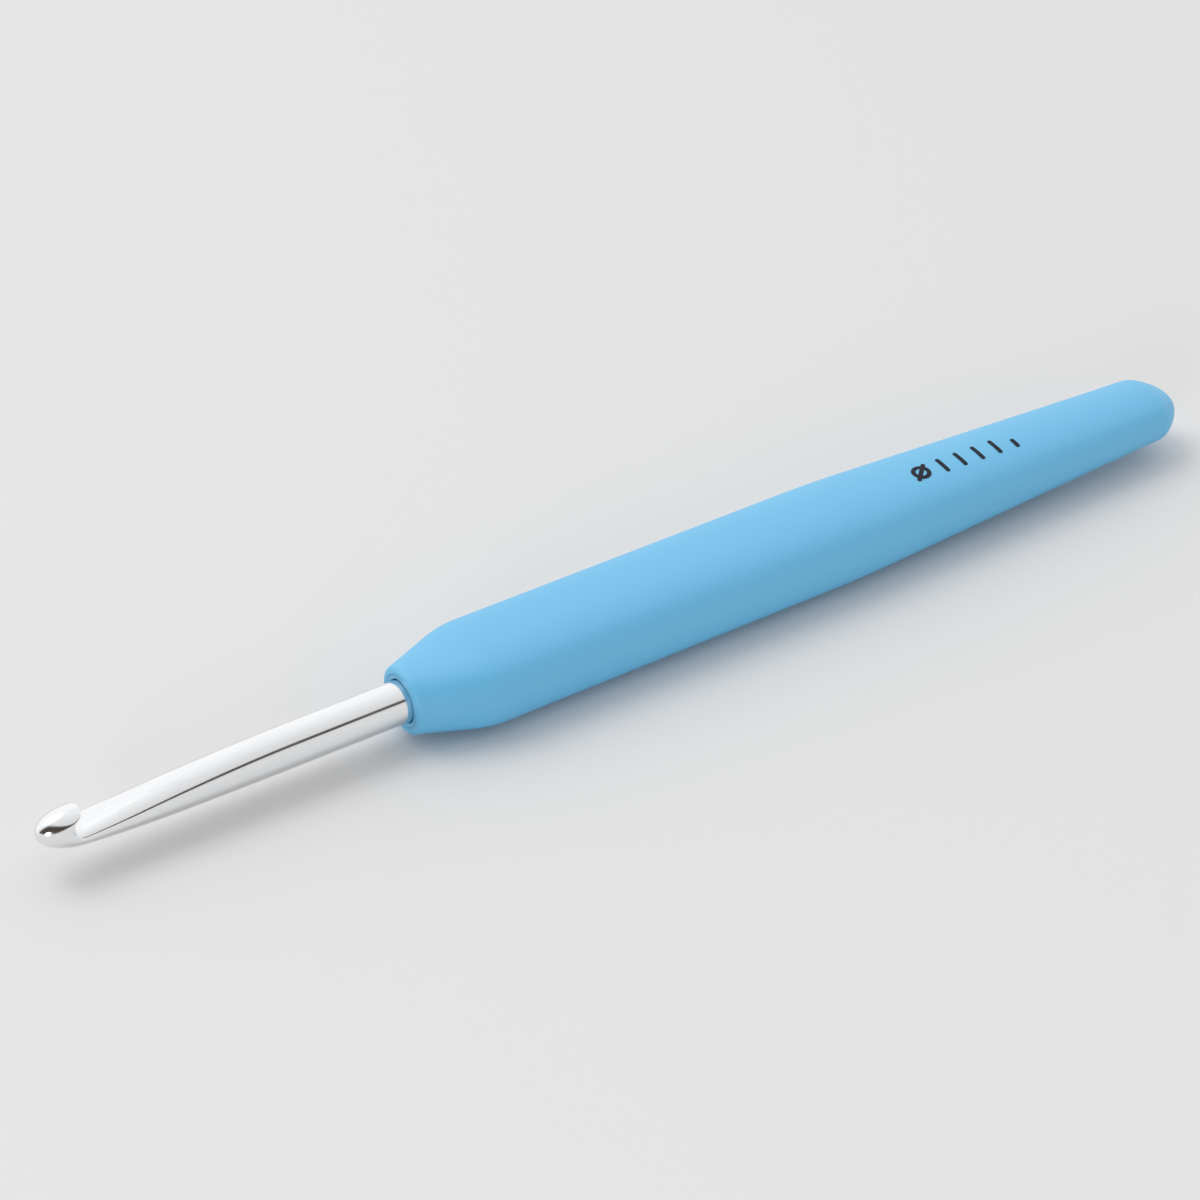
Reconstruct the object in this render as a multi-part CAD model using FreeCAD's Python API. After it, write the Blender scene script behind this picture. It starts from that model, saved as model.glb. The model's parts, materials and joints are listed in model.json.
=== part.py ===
import FreeCAD, Part
import math
import os

# A soft-grip crochet hook, lying on the underside of its handle.
# Millimetres. +X runs along the hook from its head to the handle's rounded tail, +Z is up and the
# throat opens upwards. The origin is on the table, under the middle of the whole length.

# ---- driving sizes: aluminium hook shaft ----
ROD_DIAMETER = 4.5          # the gauge: the loops are sized on this plain round stretch
REACH = 40.0                # head's tip to the handle's mouth
HEAD_DIAMETER = 4.34
HEAD_LENGTH = 4.5           # tip to the barb's edge
HEAD_RISE = 0.65            # the pressed head sits this far above the rod's axis, at the barb
NECK_LENGTH = 25.0          # from the barb back to the full round rod
THROAT_RADIUS = 0.75
THROAT_FLOOR = 0.4          # lowest point of the throat above the rod's axis
BARB_UNDERCUT = 0.9         # how far the throat reaches forward under the barb
BARB_DROP = 0.3             # the barb's edge lies this far below the head's top
RAMP_ANGLE = 4.8            # slope of the long flat that runs out of the throat, degrees
TANG_STEP = 0.15            # the tang is turned down by this much all round
TANG_LENGTH = 51.0          # from the handle's mouth to the tang's end
TANG_FLAT_LENGTH = 18.0     # two pressed flats stop the shaft turning in the handle
TANG_FLAT_DEPTH = 0.6
GROOVE_COUNT = 2            # ring grooves stop the shaft pulling out
GROOVE_SPACING = 9.0
GROOVE_WIDTH = 1.6
GROOVE_DEPTH = 0.35

# ---- driving sizes: rigid core moulded over the tang ----
CORE_COVER_SIDE = 2.6       # plastic beside the tang
CORE_COVER_TOP = 0.9        # plastic above and below the tang
CORE_COLLAR = 0.8           # plastic round the rod at the core's front face
CORE_SETBACK = 3.0          # the core starts this far behind the mouth
CORE_TAIL_WIDTH = 6.1
CORE_TAIL_HEIGHT = 3.3

# ---- driving sizes: soft grip moulded over the core ----
GRIP_WALL = 1.4
NOSE_LENGTH = 7.4           # mouth to shoulder
BODY_LENGTH = 46.0          # constant section, shoulder to the start of the taper
TAPER_LENGTH = 46.6         # start of the taper to the end of the tail
TAIL_ROUND = 5.1            # length of the rounded end
TAIL_FLAT = 0.4             # half-width of the moulding gate's tiny flat
REST_FLAT = 0.06            # the underside is flattened by this much, so that the hook lies still
MOUTH_GAP = 0.15            # open ring between rod and mouth
MOUTH_DEPTH = 1.2
LIP_WALL = 1.2              # elastomer between the mouth and the outside, at the lip
LIP_ROUND = 0.9
SHOULDER_ROUND = 4.0        # stretch behind the shoulder over which the outline turns
TAPER_ROUND = 8.0           # the same each side of the start of the taper
FULLNESS_ROUND = 0.7071     # how far a section reaches along its box's diagonal: a circle's share
FULLNESS_HANDLE = 0.758     # the handle's flattened, softly squared section

# ---- driving sizes: printed size mark ----
MARK_HEIGHT = 2.4           # across the handle
MARK_STROKE = 0.5
MARK_RING = 0.86            # radius of the diameter sign's ring, to the middle of its stroke
MARK_FIRST = 2.9            # middle of the sign to the first bar
MARK_PITCH = 2.4            # bar to bar
MARK_FROM_TAIL = 29.5       # middle of the mark to the end of the tail
MARK_ASIDE = -1.0           # middle of the mark beside the handle's middle line
INK_THICKNESS = 0.04

# ---- sizes that follow ----
rod_r = ROD_DIAMETER / 2
tang_r = rod_r - TANG_STEP
head_r = HEAD_DIAMETER / 2
core_half_w = rod_r + CORE_COVER_SIDE
core_half_h = rod_r + CORE_COVER_TOP
mouth_bore_r = rod_r + MOUTH_GAP
mouth_half = mouth_bore_r + LIP_WALL
handle_length = NOSE_LENGTH + BODY_LENGTH + TAPER_LENGTH
total_length = REACH + handle_length
axis_height = core_half_h + GRIP_WALL - REST_FLAT
tip_x = -total_length / 2
mouth_x = tip_x + REACH
taper_x = mouth_x + NOSE_LENGTH + BODY_LENGTH
end_x = mouth_x + handle_length
seat_x = mouth_x + MOUTH_DEPTH          # the rod's shoulder sits on the bottom of the mouth
tang_end_x = mouth_x + TANG_LENGTH
barb_x = tip_x + HEAD_LENGTH
rod_x = barb_x + NECK_LENGTH
X_AXIS = FreeCAD.Vector(1, 0, 0)
Y_AXIS = FreeCAD.Vector(0, 1, 0)
NECK_STEPS = 8              # sections along the neck
BEYOND = 1.0                # how far a cutting body runs past what it cuts
INK_REACH = axis_height + BEYOND


def point(x, z, y=0.0):
    """A point given by its place along the hook, its height above the rod's axis and its side."""
    return FreeCAD.Vector(x, y, axis_height + z)


def rod(radius, x_from, x_to):
    """A cylinder on the rod's axis between two places along the hook."""
    return Part.makeCylinder(radius, x_to - x_from, point(x_from, 0), X_AXIS)


def skin(rows):
    """A closed solid through rows of (x, half width, half height, fullness).

    Each row is a closed cubic ring of eight poles, on its box's axes and near its corners, so
    that the ring touches the box at mid-side and meets the fullness on its diagonal. Along the
    hook the rows are the poles of a quadratic surface: straight where rows are in line, rounded
    where they turn."""
    poles = []
    for x, half_w, half_h, fullness in rows:
        side = (12 - 6 * fullness) / 7
        corner = 3 - 2 * side
        ring = [(side, 0), (corner, corner), (0, side), (-corner, corner)]
        ring += [(-a, -b) for a, b in ring]
        poles.append([point(x, b * half_h, a * half_w) for a, b in ring])
    spans = len(rows) - 2
    surface = Part.BSplineSurface()
    surface.buildFromPolesMultsKnots(poles, [3] + [1] * (spans - 1) + [3], [1] * 9,
                                     list(range(spans + 1)), list(range(9)), False, True, 2, 3)
    wall = surface.toShape()
    caps = []
    for x in (rows[0][0], rows[-1][0]):
        rim = [e for e in wall.Edges if abs(e.BoundBox.XMin - x) + abs(e.BoundBox.XMax - x) < 1e-6]
        caps.append(Part.Face(Part.Wire(rim)))
    closed = Part.makeCompound([wall] + caps)
    closed.sewShape()
    return Part.makeSolid(closed.Shells[0])


def handle_rows(wall, front):
    """Rows of the core (wall 0) or of a skin that lies a wall outside it, behind its front rows."""
    body_w = core_half_w + wall
    body_h = core_half_h + wall
    tail_w = CORE_TAIL_WIDTH / 2 + wall
    tail_h = CORE_TAIL_HEIGHT / 2 + wall
    dome = TAIL_ROUND - GRIP_WALL + wall
    dome_x = end_x - TAIL_ROUND
    last_x = dome_x + dome
    kink = TAPER_ROUND / (dome_x - taper_x)
    shoulder_x = mouth_x + NOSE_LENGTH
    eighth = math.tan(math.pi / 8)
    rows = [(shoulder_x, body_w, body_h),
            (shoulder_x + SHOULDER_ROUND, body_w, body_h),
            (taper_x - TAPER_ROUND, body_w, body_h),
            (taper_x, body_w, body_h),
            (taper_x + TAPER_ROUND, body_w + (tail_w - body_w) * kink, body_h + (tail_h - body_h) * kink),
            (dome_x, tail_w, tail_h),
            (dome_x + dome * eighth, tail_w, tail_h),
            (last_x, tail_w * eighth, tail_h * eighth),
            (last_x, TAIL_FLAT, TAIL_FLAT * tail_h / tail_w)]
    return front + [row + (FULLNESS_HANDLE,) for row in rows]


def core_body():
    """The core before the tang's place is cut: a flat collar face, then the handle's shape."""
    collar = rod_r + CORE_COLLAR
    return skin(handle_rows(0, [(mouth_x + CORE_SETBACK, collar, collar, FULLNESS_ROUND)]))


def grip_body(extra=0.0):
    """The grip's outer shape, swollen by extra: a rounded lip, a cone and the handle's shape."""
    half = mouth_half + extra
    wall = GRIP_WALL + extra
    cone_w = (core_half_w + wall - half) / NOSE_LENGTH
    cone_h = (core_half_h + wall - half) / NOSE_LENGTH
    front = [(mouth_x, half - LIP_ROUND, half - LIP_ROUND, FULLNESS_ROUND),
             (mouth_x, half, half, FULLNESS_ROUND)]
    middle = (FULLNESS_ROUND + FULLNESS_HANDLE) / 2
    for run, fullness in ((LIP_ROUND, FULLNESS_ROUND), (NOSE_LENGTH - SHOULDER_ROUND, middle)):
        front.append((mouth_x + run, half + cone_w * run, half + cone_h * run, fullness))
    return skin(handle_rows(wall, front))


def neck_station(x):
    """Radius and height above the rod's axis of the shaft's round section on the neck: the
    rise falls off from the barb to the rod with the fourth power of what is left of the neck."""
    share = (rod_x - x) / NECK_LENGTH
    return rod_r + (head_r - rod_r) * share, HEAD_RISE * share ** 4


def head_and_neck():
    """The bullet head, a half ellipsoid in line with the neck's slope, and the neck behind it."""
    steepest = 4 * HEAD_RISE / NECK_LENGTH
    nose = Part.Ellipse(FreeCAD.Vector(0, 0, 0), HEAD_LENGTH, head_r)
    arc = nose.toShape(math.pi / 2, math.pi)
    back = Part.makeLine(FreeCAD.Vector(0, 0, 0), FreeCAD.Vector(0, head_r, 0))
    axis = Part.makeLine(FreeCAD.Vector(-HEAD_LENGTH, 0, 0), FreeCAD.Vector(0, 0, 0))
    profile = Part.Face(Part.Wire(Part.__sortEdges__([arc, back, axis])))
    bullet = profile.revolve(FreeCAD.Vector(0, 0, 0), X_AXIS, 360)
    bullet.rotate(FreeCAD.Vector(0, 0, 0), Y_AXIS, math.degrees(math.atan(steepest)))
    bullet.translate(point(barb_x, HEAD_RISE))
    rings = []
    for i in range(NECK_STEPS + 1):
        x = barb_x + NECK_LENGTH * i / NECK_STEPS
        radius, rise = neck_station(x)
        slope = math.atan(steepest * ((rod_x - x) / NECK_LENGTH) ** 3)
        normal = FreeCAD.Vector(math.cos(slope), 0, -math.sin(slope))
        rings.append(Part.Wire(Part.makeCircle(radius, point(x, rise), normal)))
    return bullet.fuse(Part.makeLoft(rings, True))


def throat_cutter():
    """The notch: up the ramp, round the throat, and along the barb's face, through the width."""
    slope = math.radians(RAMP_ANGLE)
    centre_x = barb_x - BARB_UNDERCUT + THROAT_RADIUS
    centre_z = THROAT_FLOOR + THROAT_RADIUS
    barb_z = HEAD_RISE + head_r - BARB_DROP
    away_x = barb_x - centre_x
    away_z = barb_z - centre_z
    reach = math.hypot(away_x, away_z)
    face_turn = math.atan2(away_z, away_x) + math.acos(THROAT_RADIUS / reach)

    def on_throat(angle):
        return point(centre_x + THROAT_RADIUS * math.cos(angle), centre_z + THROAT_RADIUS * math.sin(angle))

    floor = on_throat(1.5 * math.pi + slope)
    face = on_throat(face_turn)
    barb = point(barb_x, barb_z)
    top = axis_height + rod_r + HEAD_RISE + BEYOND
    over_barb = barb + (barb - face) * ((top - barb.z) / (barb.z - face.z))
    ramp_end = floor + FreeCAD.Vector((top - floor.z) / math.tan(slope), 0, top - floor.z)
    edges = [Part.makeLine(ramp_end, floor),
             Part.Arc(floor, on_throat((1.5 * math.pi + slope + face_turn) / 2), face).toShape(),
             Part.makeLine(face, over_barb),
             Part.makeLine(over_barb, ramp_end)]
    outline = Part.Face(Part.Wire(edges))
    width = ROD_DIAMETER + HEAD_DIAMETER
    outline.translate(-Y_AXIS * (width / 2))
    return outline.extrude(Y_AXIS * width)


def hook_shaft():
    """One piece of aluminium: pressed head, throat, round rod, and the tang inside the handle."""
    shaft = rod(rod_r, rod_x, seat_x).fuse(head_and_neck()).cut(throat_cutter())
    tang = rod(tang_r, seat_x, tang_end_x)
    flat_start = tang_end_x - TANG_FLAT_LENGTH
    block = Part.makeBox(TANG_FLAT_LENGTH, 2 * tang_r, 2 * tang_r)
    for low in (tang_r - TANG_FLAT_DEPTH, TANG_FLAT_DEPTH - 3 * tang_r):
        side = block.copy()
        side.translate(point(flat_start, low, -tang_r))
        tang = tang.cut(side)
    for i in range(GROOVE_COUNT):
        start = flat_start - GROOVE_SPACING * (i + 1)
        groove = rod(tang_r + BEYOND, start, start + GROOVE_WIDTH)
        tang = tang.cut(groove.cut(rod(tang_r - GROOVE_DEPTH, start, start + GROOVE_WIDTH)))
    return shaft.fuse(tang).removeSplitter()


def bar(start, end):
    """A round-ended prism from one point of the mark to another, as wide as its stroke."""
    half = MARK_STROKE / 2
    start, end = FreeCAD.Vector(*start, 0), FreeCAD.Vector(*end, 0)
    along = (end - start).normalize()
    aside = FreeCAD.Vector(-along.y, along.x, 0) * half
    edge = [start + aside, start - aside, end - aside, end + aside, start + aside]
    middle = Part.Face(Part.makePolygon(edge)).extrude(FreeCAD.Vector(0, 0, INK_REACH))
    return [middle] + [Part.makeCylinder(half, INK_REACH, tip) for tip in (start, end)]


def size_mark():
    """The gauge printed on the handle as a skin of ink: a diameter sign, a bar for each millimetre
    of the rod's diameter, and a short bar for a half."""
    half = MARK_STROKE / 2
    reach = MARK_HEIGHT / 2 - half
    ring = Part.makeCylinder(MARK_RING + half, INK_REACH).cut(Part.makeCylinder(MARK_RING - half, INK_REACH))
    strokes = [[ring] + bar((-reach, -reach), (reach, reach))]
    whole, short = divmod(round(2 * ROD_DIAMETER), 2)
    for i in range(whole + short):
        x = MARK_FIRST + i * MARK_PITCH
        strokes.append(bar((x, -reach), (x, reach if i < whole else 0)))
    last = MARK_FIRST + (whole + short - 1) * MARK_PITCH
    place = FreeCAD.Vector(end_x - MARK_FROM_TAIL - last / 2, MARK_ASIDE, axis_height)
    surface = grip_body()
    ink_surface = grip_body(INK_THICKNESS)
    solids = []
    for prisms in strokes:
        shape = prisms[0].multiFuse(prisms[1:]).removeSplitter()
        shape.translate(place)
        solids += shape.common(ink_surface).cut(surface).Solids
    return Part.makeCompound(solids)


def soft_grip():
    """The elastomer: its outer shape with the rest flat, less the core, the mouth and the tang."""
    outer = grip_body()
    below = Part.makeBox(handle_length, outer.BoundBox.YLength, REST_FLAT + BEYOND)
    below.translate(FreeCAD.Vector(mouth_x, outer.BoundBox.YMin, -REST_FLAT - BEYOND))
    mouth = rod(mouth_bore_r, mouth_x - BEYOND, seat_x)
    return outer.cut(Part.makeCompound([below, mouth, core_body(), rod(tang_r, seat_x, tang_end_x)]))


shaft = hook_shaft()
parts = {"hook_shaft": shaft,
         "handle_core": core_body().cut(shaft),
         "soft_grip": soft_grip(),
         "size_mark": size_mark()}

os.makedirs("parts", exist_ok=True)
for name, shape in parts.items():
    shape.exportStep("parts/" + name + ".step")
    box = shape.BoundBox
    print("%-12s valid %s  solids %d  volume %.1f  x %.2f..%.2f  y %.2f..%.2f  z %.2f..%.2f" % (
        name, shape.isValid(), len(shape.Solids), shape.Volume,
        box.XMin, box.XMax, box.YMin, box.YMax, box.ZMin, box.ZMax))
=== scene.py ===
import json
import math

import bpy
import numpy as np
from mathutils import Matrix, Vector


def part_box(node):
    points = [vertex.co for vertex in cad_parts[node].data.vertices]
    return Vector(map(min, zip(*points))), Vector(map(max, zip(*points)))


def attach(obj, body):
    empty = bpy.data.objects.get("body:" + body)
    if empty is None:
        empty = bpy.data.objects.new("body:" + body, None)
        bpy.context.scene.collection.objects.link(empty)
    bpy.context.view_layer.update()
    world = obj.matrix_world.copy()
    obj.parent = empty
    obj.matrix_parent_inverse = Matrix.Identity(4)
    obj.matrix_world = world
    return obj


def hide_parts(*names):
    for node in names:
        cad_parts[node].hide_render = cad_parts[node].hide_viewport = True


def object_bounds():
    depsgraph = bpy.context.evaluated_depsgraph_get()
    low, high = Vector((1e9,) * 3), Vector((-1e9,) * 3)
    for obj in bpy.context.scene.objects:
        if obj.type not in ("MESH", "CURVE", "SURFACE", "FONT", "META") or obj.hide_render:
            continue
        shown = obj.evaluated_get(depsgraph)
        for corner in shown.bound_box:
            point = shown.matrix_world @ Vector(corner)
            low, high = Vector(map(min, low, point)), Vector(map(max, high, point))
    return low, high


# A soft-grip crochet hook, put together as it is made: the aluminium hook, the core moulded over
# its tang, the soft grip moulded over the core, and the size mark printed on the grip last.
# Lengths are millimetres until a mesh is made. +X runs from the head to the tail, and +Z is up.
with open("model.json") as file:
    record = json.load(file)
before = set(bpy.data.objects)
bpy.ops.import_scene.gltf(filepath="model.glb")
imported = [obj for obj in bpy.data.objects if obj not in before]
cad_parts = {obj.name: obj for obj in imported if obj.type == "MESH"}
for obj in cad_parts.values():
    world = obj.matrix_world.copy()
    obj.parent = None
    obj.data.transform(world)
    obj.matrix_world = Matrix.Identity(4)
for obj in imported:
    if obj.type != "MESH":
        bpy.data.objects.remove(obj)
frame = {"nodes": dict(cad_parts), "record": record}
cad_low, cad_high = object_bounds()


# ---- Aluminium hook ----
# One length of 4.5 mm aluminium rod. A press forms the head and the throat behind it, the end that
# the handle hides is turned down and gets two ring grooves and two flats, and all of it is
# polished and clear anodised.
MM = 0.001
HEAD_LENGTH = 4.5
HEAD_RADIUS = 2.17
HEAD_RISE = 0.65            # the head's middle stands this far above the rod's axis, at the barb
NECK_LENGTH = 25.0          # from the barb back to the plain round rod
THROAT_RADIUS = 0.75
THROAT_FLOOR = 0.72         # lowest point of the throat's middle line, above the rod's axis
BARB_SQUARENESS = 8.0       # power of the sections: high leaves a corner, and 2 makes an ellipse
FLOOR_SQUARENESS = 2.6
RAMP_SQUARENESS = 2.0
SQUARE_STRETCH = 5.0        # the ramp is an ellipse from this far behind the throat
BARB_UNDERCUT = 0.9
BARB_HEIGHT = 1.87          # the barb's face passes this high above the head's middle
BARB_BLUNT = 0.3            # polishing has worn the barb's point back and round by about this much
RAMP_SLOPE = math.radians(6.2)
RAMP_LENGTH = 30.0
RAMP_EASE = 1.0             # the ramp's middle line turns into the rod's over this much height
TANG_RADIUS = 2.1
TANG_FLAT_LENGTH = 18.0
TANG_FLAT_HALF = 1.5
GROOVES_FROM_END = (36.0, 27.0)
GROOVE_WIDTH = 1.6
GROOVE_DEPTH = 0.35
MOUTH_DEPTH = 1.2           # the plain rod ends on a seat this far inside the handle's mouth
SEAT_EDGE = 0.1             # chamfer round the end of the plain rod
AROUND = 144                # points in each ring of the shaft and the grip
FAN_RINGS = 170             # rings from the barb's point round the nose to the throat's floor
FAN_CROWDING = 1.5          # the first rings stand closer together, for the barb's small radius
RAMP_RINGS = 150
RAMP_CROWDING = 1.2         # and so do the ramp's, behind the throat
HALVINGS = 40               # of a stretch of a few millimetres, which leave far less than a micron
SHARPEST_SMOOTH = math.radians(40)

gauge = next(mount for mount in frame["record"]["mounts"] if mount["name"] == "gauge_rod")
rod_radius = gauge["dims"]["r_mm"]
axis_height = gauge["pos_m"][2] / MM
tip_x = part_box("hook_shaft")[0].x / MM
tang_end_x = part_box("hook_shaft")[1].x / MM
mouth_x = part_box("soft_grip")[0].x / MM
seat_x = mouth_x + MOUTH_DEPTH
barb_x = tip_x + HEAD_LENGTH
head_tilt = math.atan(4 * HEAD_RISE / NECK_LENGTH)


def round_body(spots):
    """Distance of points outside the shaft's body before the throat is cut, below zero inside.

    Behind the barb it is the distance from a bent axis less a radius: the radius changes evenly
    from head to rod, and the axis rises with the fourth power of what is left of the neck. Ahead
    of the barb it is a half ellipsoid in line with the axis where the neck ends."""
    x, y, z = np.moveaxis(spots, -1, 0)
    left = np.clip(1 - (x - barb_x) / NECK_LENGTH, 0, 1)
    level = np.cos(np.arctan(math.tan(head_tilt) * left ** 3))
    neck = np.hypot(y, (z - HEAD_RISE * left ** 4) * level)
    neck -= rod_radius + (HEAD_RADIUS - rod_radius) * left
    along = (x - barb_x) * math.cos(head_tilt) - (z - HEAD_RISE) * math.sin(head_tilt)
    across = (x - barb_x) * math.sin(head_tilt) + (z - HEAD_RISE) * math.cos(head_tilt)
    thinner = np.sqrt(np.clip(1 - (along / HEAD_LENGTH) ** 2, 0, 1))
    return np.where(along < 0, np.hypot(y, across) - HEAD_RADIUS * thinner, neck)


def way_out(start, direction):
    """Distance from points inside the body to its skin, by halving the stretch that holds it."""
    low = np.zeros(np.broadcast_shapes(start.shape, direction.shape)[:-1])
    high = low + 2 * (HEAD_LENGTH + HEAD_RADIUS)
    for _ in range(HALVINGS):
        middle = (low + high) / 2
        inside = round_body(start + direction * middle[..., None]) < 0
        low = np.where(inside, middle, low)
        high = np.where(inside, high, middle)
    return low


def hook_rings(around):
    """Rings of the head, the neck and the ramp, in planes that fan out from the throat.

    Each plane holds the Y direction. It swings about the throat's centre from the barb's point,
    over the nose and under the head to the throat's floor, then slides up the ramp and turns
    upright on the way. In it, a ray from the section's middle ends where the round body and the
    throat's wall meet in a power mean: a power of 2 makes the pressed side half an ellipse."""
    centre = np.array([barb_x - BARB_UNDERCUT + THROAT_RADIUS, 0, THROAT_FLOOR + THROAT_RADIUS])
    to_barb = np.array([barb_x, 0, HEAD_RISE + BARB_HEIGHT]) - centre
    barb_reach = np.hypot(to_barb[0], to_barb[2])
    face_turn = math.atan2(to_barb[2], to_barb[0]) + math.acos(THROAT_RADIUS / barb_reach)
    face_way = np.array([math.sin(face_turn), 0, -math.cos(face_turn)])
    face_start = centre + THROAT_RADIUS * np.array([math.cos(face_turn), 0, math.sin(face_turn)])
    point = face_start + face_way * (way_out(face_start, face_way) - BARB_BLUNT) - centre
    first_turn = math.atan2(point[2], point[0])
    floor_turn = 1.5 * math.pi + RAMP_SLOPE
    fan_share = np.linspace(0, 1, FAN_RINGS)
    fan = first_turn + (floor_turn - first_turn) * fan_share ** FAN_CROWDING
    slide = np.linspace(0, 1, RAMP_RINGS + 1)[1:]
    turn = np.concatenate([fan, floor_turn - RAMP_SLOPE * slide])
    out = np.stack([np.cos(turn), 0 * turn, np.sin(turn)], -1)
    to_wall = THROAT_RADIUS / np.cos(np.clip(face_turn - fan, 0, None))
    wall = centre + out[:len(fan)] * to_wall[:, None]
    ramp_way = np.array([math.cos(RAMP_SLOPE), 0, math.sin(RAMP_SLOPE)])
    run = RAMP_LENGTH * slide ** RAMP_CROWDING
    wall = np.concatenate([wall, wall[-1] + ramp_way * run[:, None]])

    inner = np.zeros(len(turn))
    inner[len(fan):] = -wall[len(fan):, 2] / out[len(fan):, 2]
    start = wall + out * inner[:, None]
    near = np.clip(inner - way_out(start, -out), 0, None)
    depth = (near + inner + way_out(start, out)) / 2
    settle = fan_share ** 2 * (3 - 2 * fan_share)
    fade = np.clip(run / SQUARE_STRETCH, 0, 1)
    power = np.concatenate([BARB_SQUARENESS + (FLOOR_SQUARENESS - BARB_SQUARENESS) * settle,
                            FLOOR_SQUARENESS + (RAMP_SQUARENESS - FLOOR_SQUARENESS) * fade])
    middle = wall + out * depth[:, None]
    aside = np.array([0.0, 1.0, 0.0])
    top = way_out(middle, -out)
    eased = np.clip(RAMP_EASE - abs(depth - top), 0, None) ** 2 / (4 * RAMP_EASE)
    crest = np.minimum(depth, top) - eased
    tall = (crest + way_out(middle, out)) / 2
    wide = way_out(middle, aside)
    around_turn = 2 * math.pi * np.arange(around) / around
    ray = out[:, None] * (tall[:, None] * np.cos(around_turn))[..., None]
    ray = ray + aside * (wide[:, None] * np.sin(around_turn))[..., None]
    ray /= np.linalg.norm(ray, axis=-1, keepdims=True)
    inward = np.clip(-(ray * out[:, None]).sum(-1), 0, None)
    power, crest, top = power[:, None], crest[:, None], top[:, None]
    pressed = crest ** -power - top ** -power
    reach = (way_out(middle[:, None], ray) ** -power + inward ** power * pressed) ** (-1 / power)
    worn = np.clip((turn - first_turn) * barb_reach / BARB_BLUNT, 0, 1)
    reach = reach * np.sqrt(1 - (1 - worn) ** 2)[:, None]
    return middle[:, None] + ray * reach[..., None]


def tang_rings(around):
    """Rings of the plain rod and the tang: circles of a changing radius, cut off at two flats."""
    flat_x = tang_end_x - TANG_FLAT_LENGTH
    rows = [(seat_x - SEAT_EDGE, rod_radius, rod_radius),
            (seat_x, rod_radius - SEAT_EDGE, rod_radius),
            (seat_x, TANG_RADIUS, rod_radius)]
    for back in GROOVES_FROM_END:
        start = tang_end_x - back
        outline = ((0, 0), (0, GROOVE_DEPTH), (GROOVE_WIDTH, GROOVE_DEPTH), (GROOVE_WIDTH, 0))
        rows += [(start + x, TANG_RADIUS - depth, rod_radius) for x, depth in outline]
    rows += [(flat_x, TANG_RADIUS, rod_radius),
             (flat_x, TANG_RADIUS, TANG_FLAT_HALF),
             (tang_end_x, TANG_RADIUS, TANG_FLAT_HALF)]
    x, radius, half = np.array(rows).T[:, :, None]
    turn = 2 * math.pi * np.arange(around) / around
    y = np.clip(radius * np.sin(turn), -half, half)
    return np.stack([x + 0 * y, y, -radius * np.cos(turn)], -1)


def closed_skin(name, rings, material):
    """A closed mesh through rings of points about the rod's axis: each ring joined to the next by
    four-cornered faces, and the first and the last to a point in the ring's middle."""
    count, around = rings.shape[:2]
    points = np.concatenate([rings.reshape(-1, 3), rings[:1].mean(1), rings[-1:].mean(1)])
    points = (points + (0, 0, axis_height)) * MM
    here = np.arange(around)
    after = np.roll(here, -1)
    step = around * np.arange(count - 1)[:, None]
    walls = np.stack([after + step, here + step, here + step + around, after + step + around], -1)
    first = np.stack([here, after, np.full(around, count * around)], -1)
    last_ring = (count - 1) * around
    last = np.stack([after + last_ring, here + last_ring, np.full(around, count * around + 1)], -1)
    faces = walls.reshape(-1, 4).tolist() + first.tolist() + last.tolist()
    mesh = bpy.data.meshes.new(name)
    mesh.from_pydata(points.tolist(), [], faces)
    mesh.polygons.foreach_set("use_smooth", np.ones(len(faces), bool))
    mesh.set_sharp_from_angle(angle=SHARPEST_SMOOTH)
    mesh.materials.append(material)
    piece = bpy.data.objects.new(name, mesh)
    bpy.context.scene.collection.objects.link(piece)
    return piece


def linear(code):
    """An sRGB hex colour as linear red, green, blue and full alpha."""
    shares = [int(code[i:i + 2], 16) / 255 for i in (1, 3, 5)]
    return [s / 12.92 if s <= 0.04045 else ((s + 0.055) / 1.055) ** 2.4 for s in shares] + [1.0]


def add_node(tree, kind, values=None, links=(), **settings):
    """Adds a node with its properties set, its sockets' values by name or number, and its links,
    each given as (source node, the source's output, this node's input)."""
    node = tree.nodes.new(kind)
    for key, value in settings.items():
        setattr(node, key, value)
    for socket, value in (values or {}).items():
        node.inputs[socket].default_value = value
    for source, output, socket in links:
        tree.links.new(source.outputs[output], node.inputs[socket])
    return node


def new_material(name):
    """An empty node material, with its tree."""
    material = bpy.data.materials.new(name)
    material.use_nodes = True
    material.node_tree.nodes.clear()
    return material, material.node_tree


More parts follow.
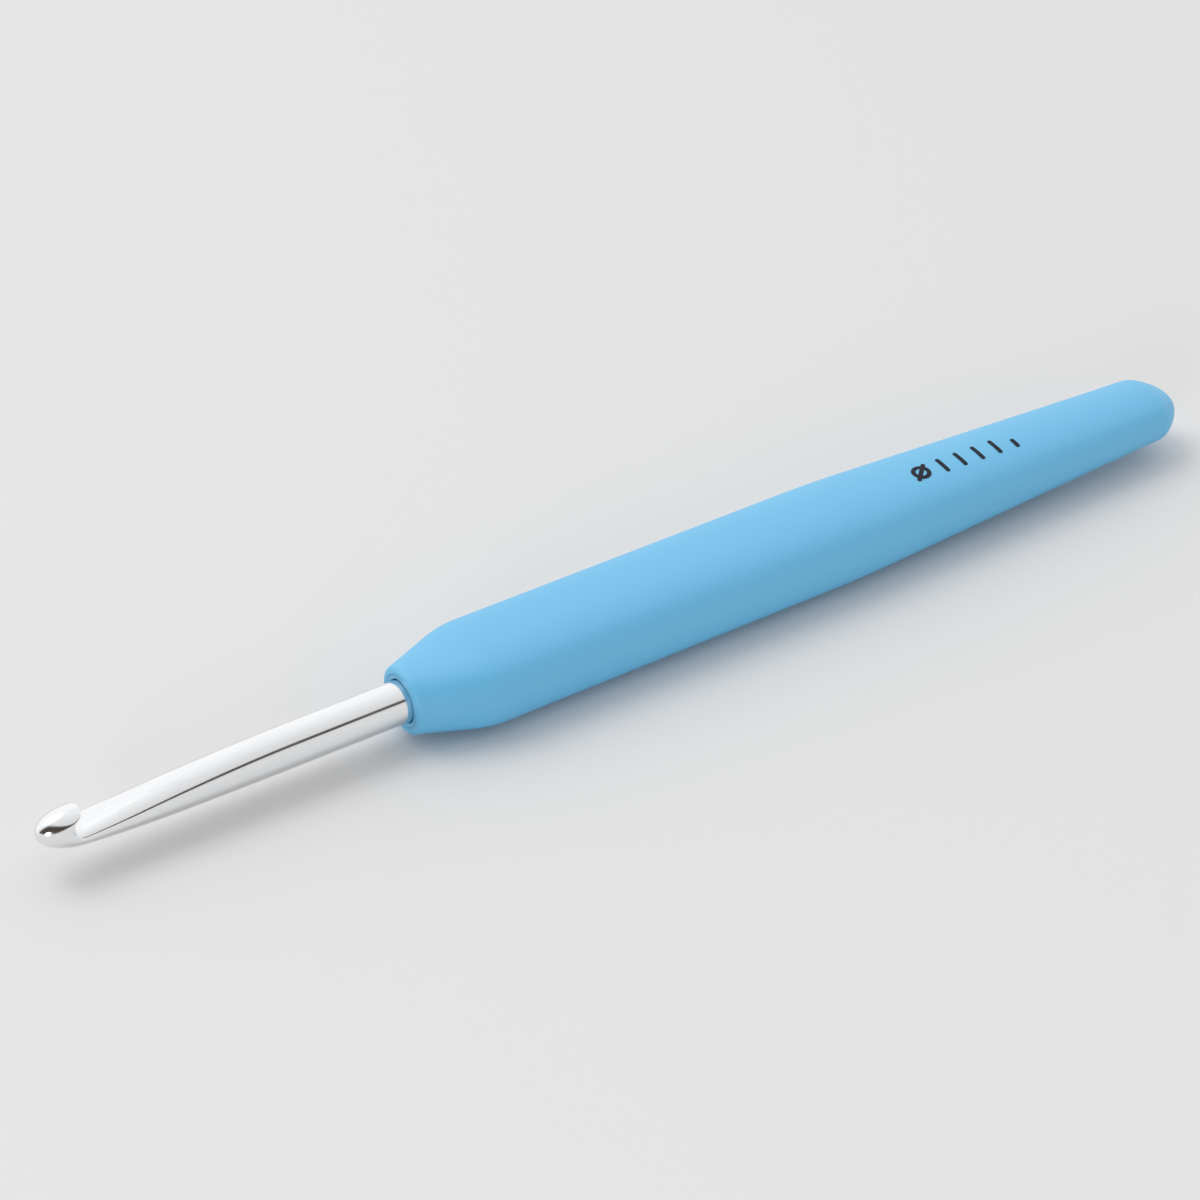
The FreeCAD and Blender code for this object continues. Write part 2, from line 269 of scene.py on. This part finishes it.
def anodised_aluminium():
    """Polished, clear anodised aluminium: a bright mirror a little blurred by the oxide, with the
    faint lengthwise lines of the polishing wheel, about 0.15 mm apart."""
    material, tree = new_material("polished anodised aluminium")
    place = add_node(tree, "ShaderNodeTexCoord")
    along = add_node(tree, "ShaderNodeMapping", {"Scale": (0.04, 1, 1)},
                     [(place, "Object", "Vector")])
    lines = add_node(tree, "ShaderNodeTexNoise", {"Scale": 1 / (0.15 * MM), "Detail": 3},
                     [(along, "Vector", "Vector")])
    cloud = add_node(tree, "ShaderNodeTexNoise", {"Scale": 1 / (6 * MM)},
                     [(place, "Object", "Vector")])
    gloss = add_node(tree, "ShaderNodeMapRange", {"To Min": 0.10, "To Max": 0.15},
                     [(cloud, "Fac", "Value")])
    tint = add_node(tree, "ShaderNodeMix", {6: linear("#E9EAEC"), 7: linear("#F3F4F5")},
                    [(lines, "Fac", 0)], data_type="RGBA")
    bump = add_node(tree, "ShaderNodeBump", {"Strength": 0.12, "Distance": 0.004 * MM},
                    [(lines, "Fac", "Height")])
    shader = add_node(tree, "ShaderNodeBsdfPrincipled", {"Metallic": 1.0},
                      [(tint, 2, "Base Color"), (gloss, "Result", "Roughness"),
                       (bump, "Normal", "Normal")])
    add_node(tree, "ShaderNodeOutputMaterial", links=[(shader, "BSDF", "Surface")])
    return material


shaft_rings = np.concatenate([hook_rings(AROUND), tang_rings(AROUND)])
shaft = closed_skin("polished_hook", shaft_rings, anodised_aluminium())
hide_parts("hook_shaft")
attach(shaft, "root")


# ---- Rigid core ----
# The first shot of the handle: ABS moulded over the tang, which stiffens the grip and holds the
# shaft by its grooves and flats. The soft grip covers all of it.
def moulded_abs():
    """Natural ABS as it leaves the mould: pale, with a fine even satin and faint flow marks."""
    material, tree = new_material("moulded ABS")
    place = add_node(tree, "ShaderNodeTexCoord")
    flow = add_node(tree, "ShaderNodeMapping", {"Scale": (0.2, 1, 1)},
                    [(place, "Object", "Vector")])
    marks = add_node(tree, "ShaderNodeTexNoise", {"Scale": 1 / (3 * MM)},
                     [(flow, "Vector", "Vector")])
    tint = add_node(tree, "ShaderNodeMix", {6: linear("#D8D9D6"), 7: linear("#E2E3E0")},
                    [(marks, "Fac", 0)], data_type="RGBA")
    grain = add_node(tree, "ShaderNodeTexNoise", {"Scale": 1 / (0.1 * MM)},
                     [(place, "Object", "Vector")])
    bump = add_node(tree, "ShaderNodeBump", {"Strength": 0.3, "Distance": 0.01 * MM},
                    [(grain, "Fac", "Height")])
    shader = add_node(tree, "ShaderNodeBsdfPrincipled", {"Roughness": 0.5, "IOR": 1.54},
                      [(tint, 2, "Base Color"), (bump, "Normal", "Normal")])
    add_node(tree, "ShaderNodeOutputMaterial", links=[(shader, "BSDF", "Surface")])
    return material


def finish_cad_node(name, material):
    """A CAD piece keeps its own mesh and takes a material."""
    piece = frame["nodes"][name]
    piece.data.materials.clear()
    piece.data.materials.append(material)


finish_cad_node("handle_core", moulded_abs())


# ---- Soft grip ----
# The second shot: a thermoplastic elastomer moulded over the core. Its nose opens in a round mouth
# with a thin gap about the rod, its section is flattened with soft corners, and it tapers to a
# rounded tail. The underside has a narrow flat, so that the hook lies still.
GRIP_WALL = 1.4
NOSE_LENGTH = 7.4
SHOULDER_ROUND = 4.0
BODY_LENGTH = 46.0
TAPER_ROUND = 8.0
TAIL_ROUND = 5.1
TAIL_HALF_WIDTH = 4.45
TAIL_HALF_HEIGHT = 3.05
TAIL_FLAT = 0.4
MOUTH_RADIUS = 2.34
MOUTH_EDGE = 0.3
LIP_HALF = 3.6
LIP_ROUND = 0.9
CORE_FRONT = 3.0            # the core starts this far behind the mouth
CORE_COLLAR = 3.05
FULLNESS_ROUND = 0.7071     # how far a section reaches along its box's diagonal: a circle's share
FULLNESS_HANDLE = 0.758     # the handle's flattened, softly squared section
FULLNESS_TAIL = 0.735       # the end is a little rounder
CORNER_STEPS = 12           # rings in each rounded corner of the outline

grip_low, grip_high = (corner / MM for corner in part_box("soft_grip"))
end_x = grip_high.x
body_half = np.array([grip_high.y, grip_high.z - axis_height])


def handle_rows(wall):
    """Corner rows (x, half width, half height, fullness) from the shoulder to the tail's end, of
    the grip's outside (wall 0) or of a skin that lies a wall inside it."""
    shoulder_x = mouth_x + NOSE_LENGTH
    taper_x = shoulder_x + BODY_LENGTH
    dome_x = end_x - TAIL_ROUND
    dome = TAIL_ROUND - wall
    body = body_half - wall
    tail = np.array([TAIL_HALF_WIDTH, TAIL_HALF_HEIGHT]) - wall
    eighth = math.tan(math.pi / 8)
    kink = body + (tail - body) * TAPER_ROUND / (dome_x - taper_x)
    rows = [(shoulder_x, body), (shoulder_x + SHOULDER_ROUND, body),
            (taper_x - TAPER_ROUND, body), (taper_x, body), (taper_x + TAPER_ROUND, kink)]
    end = [(dome_x, tail), (dome_x + dome * eighth, tail), (dome_x + dome, tail * eighth),
           (dome_x + dome, TAIL_FLAT * tail / tail[0])]
    return ([(x, *half, FULLNESS_HANDLE) for x, half in rows]
            + [(x, *half, FULLNESS_TAIL) for x, half in end])


def rounded(rows, steps):
    """An outline through corner rows: from the middle of one leg to the middle of the next it is
    a parabola that turns the corner between them, and a row given twice keeps its corner sharp."""
    rows = np.array(rows)
    middles = (rows[:-1] + rows[1:]) / 2
    middles[0] = rows[0]
    middles[-1] = rows[-1]
    t = (np.arange(steps) / steps)[None, :, None]
    corner = 2 * t * (1 - t) * rows[1:-1, None]
    curve = (1 - t) ** 2 * middles[:-1, None] + corner + t ** 2 * middles[1:, None]
    return np.concatenate([curve.reshape(-1, 4), rows[-1:]])


def sections(rows, around):
    """A closed section for each row: a cubic ring of eight poles, on the middles of the sides and
    towards the corners of its box, which touches the box at mid-side and reaches the fullness on
    its diagonal. Ring after ring they make the skin."""
    x, half_w, half_h, fullness = rows.T
    side = (12 - 6 * fullness) / 7
    corner = 3 - 2 * side
    quarter = np.array([[1, 0, 0], [0, 1, 1], [0, 0, 1], [0, -1, 1]])
    poles_z = np.stack([side, corner, 0 * side, -corner], -1)
    poles_y = np.stack([0 * side, corner, side, corner], -1)
    poles_z = np.concatenate([poles_z, -poles_z], -1)
    poles_y = np.concatenate([poles_y, -poles_y], -1)
    place = 8 * np.arange(around) / around
    pole = place.astype(int)
    t = place - pole
    shares = [(1 - t) ** 3, 3 * t ** 3 - 6 * t ** 2 + 4,
              1 + 3 * t + 3 * t ** 2 - 3 * t ** 3, t ** 3]
    y = sum(share * poles_y[:, (pole + i - 1) % 8] for i, share in enumerate(shares)) / 6
    z = sum(share * poles_z[:, (pole + i - 1) % 8] for i, share in enumerate(shares)) / 6
    return np.stack([x[:, None] + 0 * y, y * half_w[:, None], z * half_h[:, None]], -1)


def grip_rows():
    """The grip's outline: forward inside from the core's tail, out of the mouth, back outside."""
    def circle(x, radius):
        return (x, radius, radius, FULLNESS_ROUND)

    inside = handle_rows(GRIP_WALL)[::-1]
    core_x = mouth_x + CORE_FRONT
    inside += [circle(core_x, CORE_COLLAR)] * 2 + [circle(core_x, TANG_RADIUS)] * 2
    inside += [circle(seat_x, TANG_RADIUS)] * 2 + [circle(seat_x, MOUTH_RADIUS)] * 2
    edge = [circle(mouth_x + 2 * MOUTH_EDGE, MOUTH_RADIUS),
            circle(mouth_x, MOUTH_RADIUS),
            circle(mouth_x, MOUTH_RADIUS + 2 * MOUTH_EDGE)]
    cone = (body_half - LIP_HALF) / NOSE_LENGTH
    lip = [circle(mouth_x, LIP_HALF - LIP_ROUND), circle(mouth_x, LIP_HALF)]
    lip.append((mouth_x + LIP_ROUND, *(LIP_HALF + cone * LIP_ROUND), FULLNESS_ROUND))
    run = NOSE_LENGTH - SHOULDER_ROUND
    lip.append((mouth_x + run, *(LIP_HALF + cone * run), (FULLNESS_ROUND + FULLNESS_HANDLE) / 2))
    return inside + edge + lip + handle_rows(0)


def satin_elastomer():
    """Thermoplastic elastomer from a spark-eroded mould: sky blue, soft to the eye, with a broad
    satin sheen broken up by a grain of about 0.12 mm."""
    material, tree = new_material("thermoplastic elastomer")
    place = add_node(tree, "ShaderNodeTexCoord")
    cloud = add_node(tree, "ShaderNodeTexNoise", {"Scale": 1 / (9 * MM)},
                     [(place, "Object", "Vector")])
    tint = add_node(tree, "ShaderNodeMix", {6: linear("#5EB9E7"), 7: linear("#62BCE9")},
                    [(cloud, "Fac", 0)], data_type="RGBA")
    grain = add_node(tree, "ShaderNodeTexNoise", {"Scale": 1 / (0.12 * MM), "Detail": 4},
                     [(place, "Object", "Vector")])
    gloss = add_node(tree, "ShaderNodeMapRange", {"To Min": 0.42, "To Max": 0.52},
                     [(grain, "Fac", "Value")])
    bump = add_node(tree, "ShaderNodeBump", {"Strength": 0.35, "Distance": 0.01 * MM},
                    [(grain, "Fac", "Height")])
    shader = add_node(tree, "ShaderNodeBsdfPrincipled", {"IOR": 1.5, "Specular IOR Level": 1.0},
                      [(tint, 2, "Base Color"), (gloss, "Result", "Roughness"),
                       (bump, "Normal", "Normal")])
    add_node(tree, "ShaderNodeOutputMaterial", links=[(shader, "BSDF", "Surface")])
    return material


grip_skin = sections(rounded(grip_rows(), CORNER_STEPS), AROUND)
grip_skin[..., 2] = np.clip(grip_skin[..., 2], -axis_height, None)
grip = closed_skin("moulded_grip", grip_skin, satin_elastomer())
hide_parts("soft_grip")
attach(grip, "root")


# ---- Size mark ----
# A skin of ink, pad printed on top of the handle once it has left the mould: a diameter sign, a
# bar for each millimetre of the rod, and a short bar for the half.
def pad_print_ink():
    """Two-part pad printing ink: almost black with some blue, laid thin enough for the grip's
    satin grain to show through as small changes in gloss."""
    material, tree = new_material("pad printing ink")
    place = add_node(tree, "ShaderNodeTexCoord")
    grain = add_node(tree, "ShaderNodeTexNoise", {"Scale": 1 / (0.12 * MM)},
                     [(place, "Object", "Vector")])
    tint = add_node(tree, "ShaderNodeMix", {6: linear("#0C1220"), 7: linear("#131B2B")},
                    [(grain, "Fac", 0)], data_type="RGBA")
    gloss = add_node(tree, "ShaderNodeMapRange", {"To Min": 0.5, "To Max": 0.62},
                     [(grain, "Fac", "Value")])
    shader = add_node(tree, "ShaderNodeBsdfPrincipled", {"IOR": 1.5, "Specular IOR Level": 0.25},
                      [(tint, 2, "Base Color"), (gloss, "Result", "Roughness")])
    add_node(tree, "ShaderNodeOutputMaterial", links=[(shader, "BSDF", "Surface")])
    return material


finish_cad_node("size_mark", pad_print_ink())


# ---- Table ----
# A pale matt sheet of card that the hook lies on. It is far wider than the view, so that its
# edges never show.
def matt_sheet():
    """Uncoated card: off-white and fully matt, with a tooth of about half a millimetre."""
    material, tree = new_material("matt card")
    place = add_node(tree, "ShaderNodeTexCoord")
    tooth = add_node(tree, "ShaderNodeTexNoise", {"Scale": 1 / (0.5 * MM)},
                     [(place, "Object", "Vector")])
    bump = add_node(tree, "ShaderNodeBump", {"Strength": 0.05, "Distance": 0.02 * MM},
                    [(tooth, "Fac", "Height")])
    shader = add_node(tree, "ShaderNodeBsdfPrincipled",
                      {"Base Color": linear("#E3E3E3"), "Roughness": 1.0,
                       "Specular IOR Level": 0.0},
                      [(bump, "Normal", "Normal")])
    add_node(tree, "ShaderNodeOutputMaterial", links=[(shader, "BSDF", "Surface")])
    return material


TABLE_HALF = 1500.0
half = TABLE_HALF * MM
table_corners = [(-half, -half, cad_low.z), (half, -half, cad_low.z),
                 (half, half, cad_low.z), (-half, half, cad_low.z)]
sheet_mesh = bpy.data.meshes.new("table")
sheet_mesh.from_pydata(table_corners, [], [(0, 1, 2, 3)])
sheet_mesh.materials.append(matt_sheet())
table = bpy.data.objects.new("table", sheet_mesh)
bpy.context.scene.collection.objects.link(table)


# ---- Light ----
# A white light tent, as a world that is brighter behind the hook, with a dark gap in it on the
# near side, where the tent opens. One soft lamp stands high behind the hook. A smaller, weaker one
# stands low before its head.
OPENING_WAY = (-0.45, -0.89, 0)     # the way from the hook to the tent's opening
OPENING_SIDES = (0.1, 0.4)          # how far that way the gap begins, and is at its full depth
GAP_MIDDLE = 0.57                   # the gap's middle, as the height of a unit ray towards it
GAP_TAIL, GAP_HEAD = 0.1, -0.5      # between these along X its half height changes
GAP_HALF_TAIL, GAP_HALF_HEAD = 0.085, 0.34
GAP_OUTSIDE, GAP_INSIDE = 1.3, 0.7  # its soft edge, in half heights
GAP_COLOUR = (0.085, 0.07, 0.06, 1)
CLOTH_NEAR, CLOTH_FAR = -0.5, 0.7   # between these along Y the cloth gets brighter
CLOTH_DIM, CLOTH_BRIGHT = 0.80, 1.09


def light_tent():
    """The tent as seen from the hook. Its warm dark gap is a band at one height, wide towards the
    head's end and narrow towards the tail's."""
    world = bpy.data.worlds.new("light tent")
    world.use_nodes = True
    sky = world.node_tree
    sky.nodes.clear()
    toward = add_node(sky, "ShaderNodeTexCoord")
    parts = add_node(sky, "ShaderNodeSeparateXYZ", links=[(toward, "Generated", "Vector")])
    opening = add_node(sky, "ShaderNodeVectorMath", {1: OPENING_WAY}, [(toward, "Generated", 0)],
                       operation="DOT_PRODUCT")
    near_side = add_node(sky, "ShaderNodeMapRange",
                         {"From Min": OPENING_SIDES[0], "From Max": OPENING_SIDES[1]},
                         [(opening, "Value", "Value")], interpolation_type="SMOOTHSTEP")
    gap_half = add_node(sky, "ShaderNodeMapRange",
                        {"From Min": GAP_TAIL, "From Max": GAP_HEAD,
                         "To Min": GAP_HALF_TAIL, "To Max": GAP_HALF_HEAD},
                        [(parts, "X", "Value")], interpolation_type="SMOOTHSTEP")
    off_gap = add_node(sky, "ShaderNodeMath", {1: GAP_MIDDLE}, [(parts, "Z", 0)],
                       operation="SUBTRACT")
    off_gap = add_node(sky, "ShaderNodeMath", links=[(off_gap, 0, 0)], operation="ABSOLUTE")
    in_gap = add_node(sky, "ShaderNodeMath", links=[(off_gap, 0, 0), (gap_half, "Result", 1)],
                      operation="DIVIDE")
    in_gap = add_node(sky, "ShaderNodeMapRange", {"From Min": GAP_OUTSIDE, "From Max": GAP_INSIDE},
                      [(in_gap, 0, "Value")], interpolation_type="SMOOTHSTEP")
    gap = add_node(sky, "ShaderNodeMath", links=[(in_gap, "Result", 0), (near_side, "Result", 1)],
                   operation="MULTIPLY")
    cloth = add_node(sky, "ShaderNodeMapRange",
                     {"From Min": CLOTH_NEAR, "From Max": CLOTH_FAR,
                      "To Min": CLOTH_DIM, "To Max": CLOTH_BRIGHT},
                     [(parts, "Y", "Value")])
    shade = add_node(sky, "ShaderNodeMix", {6: (1, 1, 1, 1), 7: GAP_COLOUR}, [(gap, 0, 0)],
                     data_type="RGBA")
    background = add_node(sky, "ShaderNodeBackground",
                          links=[(shade, 2, "Color"), (cloth, "Result", "Strength")])
    add_node(sky, "ShaderNodeOutputWorld", links=[(background, "Background", "Surface")])
    return world


bpy.context.scene.world = light_tent()
# Each lamp is a disk that faces the hook: name, place, diameter, and power in watts.
LAMPS = [("soft key lamp", (-260.0, 400.0, 820.0), 620.0, 2.1),
         ("soft fill lamp", (-675.0, -540.0, 250.0), 260.0, 1.5)]
for name, place, size, power in LAMPS:
    lamp = bpy.data.objects.new(name, bpy.data.lights.new(name, "AREA"))
    lamp.data.shape = "DISK"
    lamp.data.size = size * MM
    lamp.data.energy = power
    lamp.location = Vector(place) * MM
    lamp.rotation_euler = (-lamp.location).to_track_quat("-Z", "Y").to_euler()
    bpy.context.scene.collection.objects.link(lamp)
bpy.context.scene.view_settings.view_transform = "Standard"


# ---- Camera ----
# It stands in front of the head's side and looks down along the handle. It aims at a point by the
# rod's axis, moved a little up and to the right in its own view.
AZIMUTH = math.radians(33.23)
ELEVATION = math.radians(36.83)
DISTANCE = 346.7
AIM_ALONG = -6.7
AIM_UP = 2.5
AIM_RIGHT = 0.37
LENS = 101.3
FRAME_WIDTH = 36            # a full frame's width, in millimetres, as the lens is
back = Vector((-math.sin(AZIMUTH) * math.cos(ELEVATION), -math.cos(AZIMUTH) * math.cos(ELEVATION),
               math.sin(ELEVATION)))
right = Vector((math.cos(AZIMUTH), -math.sin(AZIMUTH), 0))
eye = Vector((AIM_ALONG, 0, axis_height)) + back * DISTANCE
aim = Vector((AIM_ALONG, 0, axis_height)) + right * AIM_RIGHT + back.cross(right) * AIM_UP
camera = bpy.data.objects.new("camera", bpy.data.cameras.new("camera"))
camera.data.lens = LENS
camera.data.sensor_width = FRAME_WIDTH
camera.data.clip_start = 0.01
camera.location = eye * MM
camera.rotation_euler = (aim - eye).to_track_quat("-Z", "Y").to_euler()
bpy.context.scene.collection.objects.link(camera)
bpy.context.scene.camera = camera
